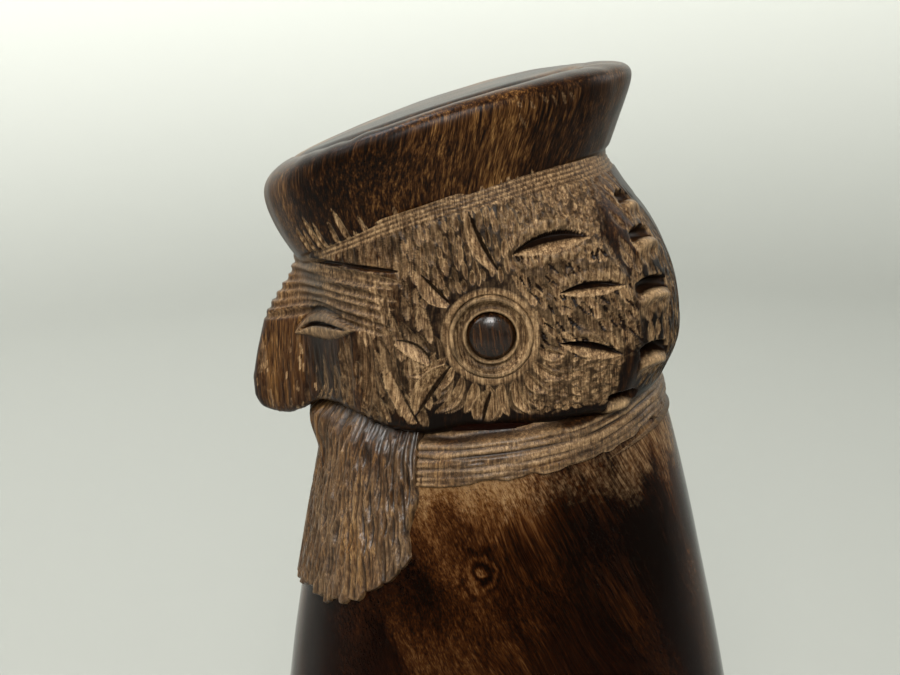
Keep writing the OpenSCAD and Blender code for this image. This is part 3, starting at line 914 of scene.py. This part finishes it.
def carveFace(s, rng):
    s.fill(rng, *faceCuts["nose"])
    for _ in range(faceCuts["scratches"]):
        spot = np.array([rng.uniform(-51, -36), rng.uniform(190, 204)])
        run = (rng.uniform(-0.3, 0.5), -rng.uniform(1.5, 4))
        s.gouge(spot, spot + run, 0.3, 0.14, late=1.0, mark=0.8)
    s.gouge((-49.2, 203.5), (-50.2, 195.5), 1.3, 0.35, late=1.0, mark=0.5)
    for x in (-37.6, -36.6, -35.6):   # three lines from the nostril
        s.gouge((x + 3.6, 197.0), (x, 189.8), 0.35, 0.3, late=1.0, mark=0.9)
    for a, b, width, deep, bend in faceCuts["ridges"]:
        s.gouge(a, b, width, deep, bend=bend, late=0.9, mark=0.38)
    for _ in range(faceCuts["waves"]):
        spot = np.array([rng.uniform(-30, -19), rng.uniform(194, 208)])
        run = (rng.uniform(-0.8, 0.8), -rng.uniform(2, 3.5))
        s.gouge(spot, spot + run, 0.6, 0.4, late=1.0, mark=rng.uniform(0.2, 0.6))
    # brow: broad steps that rise from the forehead, pass over the eye and bend down to the temple
    for k in range(faceCuts["wrinkles"]):
        z = 218.6 - 1.95 * k
        x, y = -33.0 + 0.3 * k, 221.0 - 1.4 * k
        end = (-17.0 - 0.3 * k, 220.6 - 1.75 * k)
        broad, stray = rng.uniform(0.85, 1.2), rng.uniform(-0.35, 0.35)
        s.gouge((frontAt(z) - 1.5, z), (x + 4, y + stray), broad, 0.85, bend=0.5 + stray, late=0.75,
                mark=rng.uniform(0.3, 0.5))
        s.gouge((x - 5.0, y - 0.5), (end[0] + 3 * stray, end[1] - stray), broad, 0.85, bend=0.7 - stray,
                late=1.0, mark=rng.uniform(0.35, 0.6))
    s.fill(rng, *faceCuts["brow"])
    # dark groove over the brow
    s.gouge((-42.0, 221.6), (-26, 222.9), 0.7, 1.4, bend=-0.3, late=1.0, mark=0.1)
    s.gouge((-31, 222.5), (-15.8, 222.3), 0.55, 1.1, late=1.1, mark=0.1)
    # closed eye: an arched lid with a dark outline, and a slit with painted shade over a pale lower lip
    s.mound((-40.6, 205.8), (-25.6, 210.6), 3.5, 1.3, 0.75)
    s.gouge((-41.2, 206.1), (-25.2, 211.0), 0.5, 0.95, bend=3.9, late=1.0, mark=0.1)
    s.gouge((-39.4, 206.4), (-26.8, 210.3), 0.42, 1.7, bend=1.3, late=1.0, mark=0.02)


scoops = (   # where each starts (x, y, z), half its width, how deep
    (17.0, 27.0, 236.0, 3.4, 2.0),
    (21.5, 29.5, 229.0, 4.3, 2.8),
    (25.0, 31.0, 219.6, 5.0, 3.4),
    (26.0, 30.8, 207.2, 4.2, 3.6),
    (28.5, 24.8, 198.4, 3.6, 3.6),
    (30.5, 16.0, 194.0, 2.4, 2.4),
)


def carveHead(mesh):
    p, n = getPoints(mesh), getNormals(mesh)
    cut, worked = np.zeros(len(p)), np.zeros(len(p))
    dy, dz = p[:, 1] - head["centreY"], p[:, 2] - head["centreZ"]
    radial, turn = np.hypot(dy, dz), np.degrees(np.arctan2(dz, dy))
    width = np.abs(p[:, 0])
    # what is turned away from the side
    behind = smooth(25.8, 27.6, radial + 0.5 * softNoise(p, 5, 46)) * smooth(18, 23, p[:, 1])
    for side, seed in ((1, 41), (-1, 42)):
        rng = np.random.default_rng(seed)
        here = np.flatnonzero(p[:, 0] * side > 0)
        s = Worked(p[here][:, 1:3])
        y, z = s.flat.T
        s.worked += (0.17 * smooth(-30, -24, y) + 0.13 * smooth(0, 6, y)) * smooth(194, 198, z)
        carveSide(s, rng)
        carveFace(s, rng)
        back = Worked(np.column_stack([width[here], p[here, 2]]))
        back.fill(rng, *sideCuts["behind"])
        b = behind[here]
        cut[here] = (s.cut - s.lift) * (1 - b) + back.cut * b
        worked[here] = s.worked * (1 - b) + back.worked * b
    # polished: the lower back edge of the side, the roll above the collar, the nape and the ridge of the nose
    seatRise = p[:, 2] - (191.3 + math.tan(seatTilt) * p[:, 1])
    ragged = 0.9 * softNoise(p, 3.5, 43)
    edge = smooth(22.3, 24.0, radial + ragged) * smooth(28.6, 27.4, radial)
    edge = edge * smooth(10, -12, turn) * (p[:, 1] > -2)
    roll = smooth(3.6, 2.2, seatRise + 0.7 * ragged) * (p[:, 1] > -30)
    nape = smooth(12, 8.5, width + 1.5 * ragged) * (p[:, 1] > 12)
    nose = smooth(5.0, 1.5, width + ragged) * (p[:, 1] < -20) * smooth(209, 204, p[:, 2])
    keep = 1 - np.clip(edge + roll + nape + nose, 0, 1)
    cut, worked = cut * keep, worked * keep
    # soft bead round the side, and the drop behind it
    flank = np.abs(n[:, 0]) ** 0.5
    under = smooth(236, 230, p[:, 2])
    cut += 0.6 * smooth(25, 28, radial) * smooth(-16, -6, p[:, 1]) * under * flank
    cut -= 0.4 * np.exp(-(((radial - 24.4) / 1.7) ** 2)) * smooth(-14, -4, p[:, 1]) * under * flank
    # fine grooves along the lower edge of the cap
    across, along, up = toCap(p)
    gap = 3.0 * np.abs(across / capFoot["width"]) ** 2 - up
    wide = np.interp(p[:, 1], [-40, -20, 0, 24], [0.7, 1.3, 1.9, 2.9])
    strip = smooth(wide, wide - 0.4, gap + 0.15 * ragged) * smooth(-36, -30, p[:, 1])
    lines = 0.12 * np.sin(gap * 7.5 + 1.2 * softNoise(p, 9, 47))
    cut = cut * (1 - strip) + (lines + 0.3) * strip
    # paler where the grooves are shallow and darker where they are deep: painted shade
    worked = worked * (1 - strip) + (0.62 - 2.4 * lines) * strip
    # scoops round the back corner: a pocket with painted shade over a pale swelling lip
    for side in (1, -1):
        for x, y, z, half, deep in scoops:
            spot = np.array([side * x, y, z])
            outward = np.array([side * 0.62 * x / 26, (y - 1.5) / 36, (z - 212) / 60])
            outward /= np.linalg.norm(outward)
            across = np.cross(outward, (0, 0, 1))
            across /= np.linalg.norm(across)
            along = np.cross(across, outward)
            along *= -np.sign(along[2])
            d = p - spot
            w = d @ across / half
            v = d @ along - 0.9 * w * w
            near = (np.abs(w) < 1) & (d @ outward > -7) & (p[:, 0] * side > 4)
            bowl = np.sqrt(np.clip(1 - w * w, 0, 1)) * near
            pocket = smooth(0, 0.5, v) * (1 - smooth(1.5, 3.4, v)) * bowl
            lip = np.exp(-(((v - 3.9) / 1.1) ** 2)) * bowl
            ramp = smooth(2.3, 3.1, v) * (1 - smooth(5.5, 8.0, v)) * bowl
            cut = np.where(pocket > 0.02, np.maximum(cut, deep * pocket), cut) * (1 - lip) - 0.8 * lip
            # painted shade in the pocket under its upper wall
            pocketShade = smooth(0.1, 0.5, pocket) * (1 - ramp)
            worked = np.maximum(worked * (1 - pocketShade), ramp)
    # the rim of the ear stays whole
    grip = smooth(8.6, 9.6, np.hypot(p[:, 1], p[:, 2] - head["middle"][2]))
    cut, worked = cut * grip, np.maximum(worked * grip, (1 - grip) * 0.8)
    cut += 0.10 * softNoise(p, 4.5, 44) + 0.05 * softNoise(p, 1.7, 45) * worked
    p = p - n * cut[:, None]
    # sinking for the ear cups
    ring = np.hypot(p[:, 1] - head["middle"][1], p[:, 2] - head["middle"][2])
    sink = smooth(head["cupRadius"] + 0.02, head["cupRadius"] - 0.25, ring) * (np.abs(p[:, 0]) > 15)
    p[:, 0] -= np.sign(p[:, 0]) * sink * (np.abs(p[:, 0]) - earLow[0] - 0.1)
    setPoints(mesh, p)
    store(mesh, "worked", np.clip(worked, 0, 1))
    # worn colour on crests, and painted shade darkening every cut
    store(mesh, "wearAndShade", np.clip(0.45 * crestsAndHollows(mesh) - hollows(mesh, cut), -1, 1))


def cutAway(bm, point, normal):   # removes what lies on the normal's side, and closes the cut
    everything = bm.verts[:] + bm.edges[:] + bm.faces[:]
    made = bmesh.ops.bisect_plane(
        bm, geom=everything, dist=1e-5, plane_co=point, plane_no=normal, clear_outer=True
    )
    edges = [g for g in made["geom_cut"] if isinstance(g, bmesh.types.BMEdge)]
    rim = [edge for edge in edges if edge.is_valid and edge.is_boundary]
    for face in bmesh.ops.holes_fill(bm, edges=rim, sides=0)["faces"]:
        face.smooth = False
        for edge in face.edges:
            edge.smooth = False


def splitHead(blank):
    down = Vector((0, math.sin(seatTilt), -math.cos(seatTilt)))
    upright = Vector((0, -math.sin(capTilt), math.cos(capTilt)))
    seat = (Vector((0, 0, head["seat"])), down)
    crown = (Vector((0, capFoot["y"], capFoot["z"])) + upright * 5, upright)
    line, strip = (0, head["faceCut"], 0), head["napeCut"]
    behind, ahead = (line, (0, 1, 0)), (line, (0, -1, 0))
    # piece, node, slot, and the planes beyond which the wood is taken away
    parts = (
        ("headLeft", "left_side", "carved_wood", [crown, seat, ahead, ((strip, 0, 0), (-1, 0, 0))]),
        ("headRight", "right_side", "carved_wood", [crown, seat, ahead, ((-strip, 0, 0), (1, 0, 0))]),
        ("headNape", "nape", "polished_wood",
         [crown, seat, ahead, ((strip, 0, 0), (1, 0, 0)), ((-strip, 0, 0), (-1, 0, 0))]),
        ("headFace", "face", "carved_wood", [crown, behind]),
    )
    shadeSmooth(blank)
    for name, nodeName, slot, planes in parts:
        bm = bmesh.new()
        bm.from_mesh(blank)
        bm.faces.ensure_lookup_table()
        for point, normal in planes:
            cutAway(bm, point, normal)
        mesh = meshFrom(bm, name)
        makePiece(name, mesh, [nodeName], headWood)
        print(name, len(mesh.loops) - 2 * len(mesh.polygons), "triangles")
    bpy.data.meshes.remove(blank)


ear = {
    "around": 220,
    # radius and height over the floor of the sinking, from the outer wall in to the button
    "cup": [(7.78, 0), (7.78, 4.9), (7.65, 5.35), (7.35, 5.6), (7.0, 5.55), (6.7, 5.2), (6.3, 4.7),
            (5.9, 4.4), (5.55, 4.35), (5.3, 4.5), (5.15, 4.8), (4.95, 4.95), (4.75, 4.8), (4.6, 4.3),
            (4.55, 0)],
    "button": [(4.45, 0), (4.45, 3.9), (4.3, 4.35), (3.9, 4.8), (3.1, 5.25), (2.0, 5.6), (1.0, 5.75),
               (0, 5.8)],
}


def buildEar(side, name, profile, closed, nodeName, material, worked):
    bm = bmesh.new()
    corners = [bm.verts.new((r, 0, h)) for r, h in profile]
    runs = [bm.edges.new(pair) for pair in zip(corners, corners[1:])]
    if closed:
        runs.append(bm.edges.new((corners[-1], corners[0])))
    bmesh.ops.subdivide_edges(bm, edges=runs, cuts=2)
    spinAround(bm, ear["around"] * fine)
    if not closed:
        bmesh.ops.holes_fill(bm, edges=[e for e in bm.edges if e.is_boundary], sides=0)
    bmesh.ops.recalc_face_normals(bm, faces=bm.faces)
    seat = Matrix.Translation((side * earLow[0], head["middle"][1], head["middle"][2]))
    bmesh.ops.transform(bm, verts=bm.verts, matrix=seat @ Matrix.Rotation(side * math.pi / 2, 4, "Y"))
    mesh = meshFrom(bm, name)
    p, n = getPoints(mesh), getNormals(mesh)
    shown = np.abs(p[:, 0]) > earLow[0] + 2.5   # above the skin of the head
    rough = 0.10 * softNoise(p, 2.6, 51) + 0.05 * worked * softNoise(p, 0.9, 52)
    p -= n * rough[:, None] * shown[:, None]
    setPoints(mesh, p)
    shadeSmooth(mesh)
    store(mesh, "worked", np.clip(worked * (0.8 + 0.5 * softNoise(p, 3, 53)), 0, 1))
    # worn colour on crests, and painted shade in the hollow of the cup
    store(mesh, "wearAndShade", crestsAndHollows(mesh) * worked)
    makePiece(name, mesh, [nodeName], material)


def buildEars():
    for side, word in ((1, "left"), (-1, "right")):
        buildEar(side, word + "EarCup", ear["cup"], True, word + "_ear_cup", headWood, 0.9)
        buildEar(side, word + "EarButton", ear["button"], False, word + "_ear_button",
                 buttonWood, 0.0)


cap = {
    "around": 900,
    "rings": 74,
    "roll": 34,                 # mm round the wall to the radian
    "wall": 26,                 # mm from the foot to the rim
    # offset outwards and height, from the foot up over the rim, at the front, the sides and the back
    "front": [(-1.5, -1.5), (-0.4, 0), (0.8, 4.2), (1.5, 8.0), (1.7, 12.5), (1.1, 15.6), (-0.6, 17.8),
              (-3.6, 19.3), (-6.5, 19.7)],
    "side": [(-1.5, 0.8), (-0.4, 2.9), (0.4, 6.5), (1.3, 10.4), (2.3, 14.6), (2.7, 17.4), (2.2, 19.4),
             (0.5, 20.5), (-3.0, 20.4)],
    "back": [(-1.5, -1.5), (0, 0), (3.7, 5.0), (7.2, 9.4), (9.2, 12.4), (9.7, 14.2), (8.6, 15.9), (4.4, 17.4),
             (0.6, 18.0)],
    "soften": (-0.05, -0.025, 0, 0.025, 0.05),   # how far along the profile each point is averaged
    # gouge slips across the lower edge in front of the ear: turn, lower end, upper end, width
    "slips": [(-0.92, 1.0, 7.0, 0.9), (-0.86, 1.0, 6.0, 0.8), (-0.80, 1.5, 8.0, 0.9), (-0.74, 1.0, 6.5, 0.7),
              (-0.62, 1.5, 6.0, 0.7), (-0.55, 1.0, 7.5, 0.8), (-0.42, 1.5, 5.0, 0.6), (-0.2, 1.0, 4.5, 0.6)],
    "edgeCuts": 70,
    "crownTop": 20.9,
    "crownEdge": 20.0,
}


def capRim(phi, s):   # outward offset and height at each angle round the cap and place s on the profile
    k = np.linspace(0, 1, len(cap["front"]))
    got = {}
    for key in ("front", "side", "back"):
        runs = np.array(cap[key]).T
        soft = [[np.interp(np.clip(s + o, 0, 1), k, run) for run in runs] for o in cap["soften"]]
        got[key] = np.mean(soft, axis=0)
    up = np.sin(phi)   # 1 at the back, -1 at the front
    back, front = np.clip(up, 0, 1) ** 2.2, np.clip(-up, 0, 1) ** 2.0
    side = 1 - back - front
    return [got["front"][i] * front + got["back"][i] * back + got["side"][i] * side for i in (0, 1)]


def onCap(phi, s, extra=0.0):
    d, h = capRim(phi, s)
    length, width = capFoot["length"] + d + extra, capFoot["width"] + d + extra
    return width * np.cos(phi), length * np.sin(phi), h


def buildCapBand():
    rng = np.random.default_rng(61)
    bm = bmesh.new()
    run = bm.edges.new((bm.verts.new((1, 0, 0)), bm.verts.new((1, 0, 1))))
    bmesh.ops.subdivide_edges(bm, edges=[run], cuts=int(cap["rings"] * fine))
    spinAround(bm, cap["around"] * fine)
    bmesh.ops.holes_fill(bm, edges=[e for e in bm.edges if e.is_boundary], sides=0)
    bmesh.ops.recalc_face_normals(bm, faces=bm.faces)
    mesh = meshFrom(bm, "capBand")
    tube = getPoints(mesh)
    phi, s = np.arctan2(tube[:, 1], tube[:, 0]), tube[:, 2]
    x, along, up = onCap(phi, s)
    p = fromCap(x, along, up)
    setPoints(mesh, p)
    n = getNormals(mesh)
    wall = Worked(np.column_stack([phi * cap["roll"], s * cap["wall"]]))
    for side in (1, -1):   # 0 is the left of the head, half a turn is the right
        def at(turn):
            return (turn if side > 0 else math.pi - turn) * cap["roll"]
        for turn, foot, top, width in cap["slips"]:
            x0 = at(turn)
            wall.gouge((x0, top + 2), (x0 + rng.normal(0, 0.4), foot + 1), width, 0.4, late=1.0)
        for _ in range(7):   # short nicks near the rim, behind the ear
            turn, z0 = rng.uniform(0.55, 0.85), rng.uniform(14.5, 17.5)
            x0 = at(turn)
            end = (x0 + side * rng.uniform(0.4, 1.4), z0 - rng.uniform(2, 4))
            wall.gouge((x0, z0), end, rng.uniform(0.3, 0.45), rng.uniform(0.1, 0.2), mark=0.4)
        for _ in range(cap["edgeCuts"]):   # along the lower edge
            x0, z0 = at(rng.uniform(-0.9, 0.6)), rng.uniform(3.2, 5.2)
            end = (x0 + rng.normal(0, 0.3), z0 - 2.6)
            wall.gouge((x0, z0), end, rng.uniform(0.3, 0.6), rng.uniform(0.1, 0.3), late=1.0)
    # long scraper facets, and the scored pale line at the foot
    facets = 0.14 * softNoise(np.column_stack([phi * 9, s * 2, s * 0]), 1.0, 62)
    facets = facets + 0.07 * softNoise(p, 5, 63)
    score = np.exp(-(((s - 0.135) / 0.018) ** 2))
    front = smooth(-1.0, -0.8, np.sin(phi))
    cut = wall.cut + facets * smooth(0.12, 0.2, s) + 0.45 * score * front
    p = p - n * cut[:, None]
    setPoints(mesh, p)
    shadeSmooth(mesh)
    pale = smooth(0.15, 0.125, s) * (0.5 + 0.3 * softNoise(p, 3, 64))
    store(mesh, "worked", np.clip(np.maximum(wall.worked * (wall.cut > 0.03), pale), 0, 1))
    # worn colour on crests, and painted shade in the cuts and hollows
    store(mesh, "wearAndShade", crestsAndHollows(mesh))
    makePiece("capBand", mesh, ["cap_band"], capWood)


def buildCapCrown():
    bm = bmesh.new()
    run = bm.edges.new((bm.verts.new((0, 0, 0)), bm.verts.new((1, 0, 0))))
    bmesh.ops.subdivide_edges(bm, edges=[run], cuts=int(90 * fine))
    spinAround(bm, int(360 * fine))
    rim = [e for e in bm.edges if e.is_boundary]
    skirt = bmesh.ops.extrude_edge_only(bm, edges=rim)["geom"]
    low = [g for g in skirt if isinstance(g, bmesh.types.BMVert)]
    bmesh.ops.translate(bm, verts=low, vec=(0, 0, -1))
    bmesh.ops.holes_fill(bm, edges=[e for e in bm.edges if e.is_boundary], sides=0)
    bmesh.ops.recalc_face_normals(bm, faces=bm.faces)
    mesh = meshFrom(bm, "capCrown")
    disc = getPoints(mesh)
    rho, phi = np.hypot(disc[:, 0], disc[:, 1]), np.arctan2(disc[:, 1], disc[:, 0])
    x, along, edge = onCap(phi, np.full(len(phi), 0.93), -0.3)
    middle = 1.5   # the highest part lies a little behind the middle
    dome = (cap["crownTop"] - cap["crownEdge"]) * (1 - rho ** 2) + 0.5 * smooth(1.0, 0.86, rho)
    dome = dome - 0.25 * np.exp(-(((rho - 0.95) / 0.03) ** 2))   # a shallow line inside the rim
    up = cap["crownEdge"] * (1 - rho ** 1.5) + edge * rho ** 1.5 + dome
    slack = disc[:, 2]   # the skirt under the rim
    p = fromCap(x * rho, along * rho + middle * (1 - rho), up + slack * 3)
    p[:, 2] += 0.12 * softNoise(p * (1, 1, 0), 8, 71) * (slack > -0.5)
    setPoints(mesh, p)
    shadeSmooth(mesh)
    store(mesh, "worked", np.zeros(len(p)))
    store(mesh, "wearAndShade", np.zeros(len(p)))
    makePiece("capCrown", mesh, ["cap_crown"], crownWood)


print("robe")
buildRobe()
print("collar")
buildCollar()
print("beard")
buildBeard()
print("head")
blank = headBlank()
carveHead(blank)
splitHead(blank)
print("ears")
buildEars()
print("cap")
buildCapBand()
buildCapCrown()


def plainMaterial(name, colour, rough):
    material = bpy.data.materials.new(name)
    material.use_nodes = True
    shader = material.node_tree.nodes["Principled BSDF"]
    shader.inputs["Base Color"].default_value = (*colour, 1)
    shader.inputs["Roughness"].default_value = rough
    shader.inputs["Specular IOR Level"].default_value = 0.2
    return material


studio = {
    "wall": (0.74, 0.755, 0.705),
    "floor": (0.27, 0.276, 0.255),
    "reach": 1.5,               # radius of the wall all round
    "bend": 0.5,
    "wallHeight": 2.2,
    # name, place, aim, width and height, watts, colour
    "lamps": [
        ("windowSoft", (0.35, -0.70, 0.90), (0, 0, 0.2), (0.5, 0.5), 4.2, (1.0, 0.985, 0.95)),
        ("frontSoft", (0.80, 0.00, 0.80), (0, 0, 0.2), (0.45, 0.45), 14.5, (1.0, 0.98, 0.95)),
        ("backSoft", (-0.35, 0.75, 0.65), (0, 0, 0.2), (0.3, 0.5), 1.5, (1, 1, 1)),
        ("wallSoft", (-0.3, -0.7, 1.5), (-1.4, 0.1, 0.35), (0.8, 0.8), 34.0, (1, 1, 1)),
    ],
}


def buildFloor():
    bm = bmesh.new()
    reach, bend = studio["reach"], studio["bend"]
    corners = [bm.verts.new((0, 0, 0)), bm.verts.new((reach - bend, 0, 0))]
    for k in range(1, 13):   # the floor curves up into a round wall
        a = math.radians(90 * k / 12)
        corners.append(bm.verts.new((reach - bend + bend * math.sin(a), 0, bend - bend * math.cos(a))))
    corners.append(bm.verts.new((reach, 0, studio["wallHeight"])))
    for pair in zip(corners, corners[1:]):
        bm.edges.new(pair)
    bmesh.ops.spin(bm, geom=bm.verts[:] + bm.edges[:], cent=(0, 0, 0), axis=(0, 0, 1), angle=2 * math.pi,
                   steps=96, use_merge=True, use_duplicate=False)
    bmesh.ops.remove_doubles(bm, verts=bm.verts, dist=1e-5)
    bmesh.ops.recalc_face_normals(bm, faces=bm.faces)
    mesh = meshFrom(bm, "floor")
    shadeSmooth(mesh)
    paint = plainMaterial("wallPaint", studio["wall"], 0.85)
    tree = paint.node_tree   # the floor is a little darker than the wall it runs up into
    place = tree.nodes.new("ShaderNodeTexCoord")
    split = tree.nodes.new("ShaderNodeSeparateXYZ")
    band = tree.nodes.new("ShaderNodeValToRGB")
    band.color_ramp.elements[0].color = (*studio["floor"], 1)
    band.color_ramp.elements[1].color = (*studio["wall"], 1)
    band.color_ramp.elements[1].position = 0.5
    tree.links.new(place.outputs["Object"], split.inputs[0])
    tree.links.new(split.outputs["Z"], band.inputs[0])
    tree.links.new(band.outputs[0], tree.nodes["Principled BSDF"].inputs["Base Color"])
    mesh.materials.append(paint)
    floor = bpy.data.objects.new("floor", mesh)
    bpy.context.scene.collection.objects.link(floor)


def areaLight(name, place, aim, size, power, colour):
    data = bpy.data.lights.new(name, "AREA")
    data.shape, data.size, data.size_y = "RECTANGLE", size[0], size[1]
    data.energy, data.color = power, colour
    lamp = bpy.data.objects.new(name, data)
    lamp.location = place
    lamp.rotation_mode = "QUATERNION"
    lamp.rotation_quaternion = (Vector(aim) - Vector(place)).to_track_quat("-Z", "Y")
    bpy.context.scene.collection.objects.link(lamp)


def buildLight():
    for lamp in studio["lamps"]:
        areaLight(*lamp)
    world = bpy.data.worlds.new("studioAir")
    world.use_nodes = True
    tree = world.node_tree
    tree.nodes.clear()
    seen = tree.nodes.new("ShaderNodeBackground")
    seen.inputs[0].default_value, seen.inputs[1].default_value = (0.72, 0.735, 0.69, 1), 1.0
    felt = tree.nodes.new("ShaderNodeBackground")
    felt.inputs[0].default_value, felt.inputs[1].default_value = (0.8, 0.85, 0.9, 1), 0.15
    path = tree.nodes.new("ShaderNodeLightPath")
    mix = tree.nodes.new("ShaderNodeMixShader")
    out = tree.nodes.new("ShaderNodeOutputWorld")
    tree.links.new(path.outputs["Is Camera Ray"], mix.inputs[0])
    tree.links.new(felt.outputs[0], mix.inputs[1])
    tree.links.new(seen.outputs[0], mix.inputs[2])
    tree.links.new(mix.outputs[0], out.inputs[0])
    bpy.context.scene.world = world


view = {
    "lens": 49.9,
    "turn": 4,                  # degrees round from the left side towards the back
    "pitch": 14,                # degrees up
    "roll": -2,
    "aimHeight": 0.202,
    "aside": -0.0098,           # how far the aim lies to the right
    "away": 0.262,
}


def buildCamera():
    data = bpy.data.cameras.new("camera")
    data.sensor_width, data.lens = 36.0, view["lens"]
    data.clip_start, data.clip_end = 0.01, 20
    camera = bpy.data.objects.new("camera", data)
    turn, pitch, roll = (math.radians(view[key]) for key in ("turn", "pitch", "roll"))
    back = Vector((math.cos(turn) * math.cos(pitch), math.sin(turn) * math.cos(pitch), math.sin(pitch)))
    right = Vector((-math.sin(turn), math.cos(turn), 0))
    up = back.cross(right)
    aim = Vector((0, 0, view["aimHeight"])) + right * view["aside"]
    sideways = math.cos(roll) * right + math.sin(roll) * up
    upright = math.cos(roll) * up - math.sin(roll) * right
    place = aim + back * view["away"]
    camera.matrix_world = Matrix((
        (sideways.x, upright.x, back.x, place.x),
        (sideways.y, upright.y, back.y, place.y),
        (sideways.z, upright.z, back.z, place.z),
        (0, 0, 0, 1),
    ))
    bpy.context.scene.collection.objects.link(camera)
    bpy.context.scene.camera = camera


print("studio")
buildFloor()
buildLight()
buildCamera()
bpy.context.scene.view_settings.view_transform = "Standard"
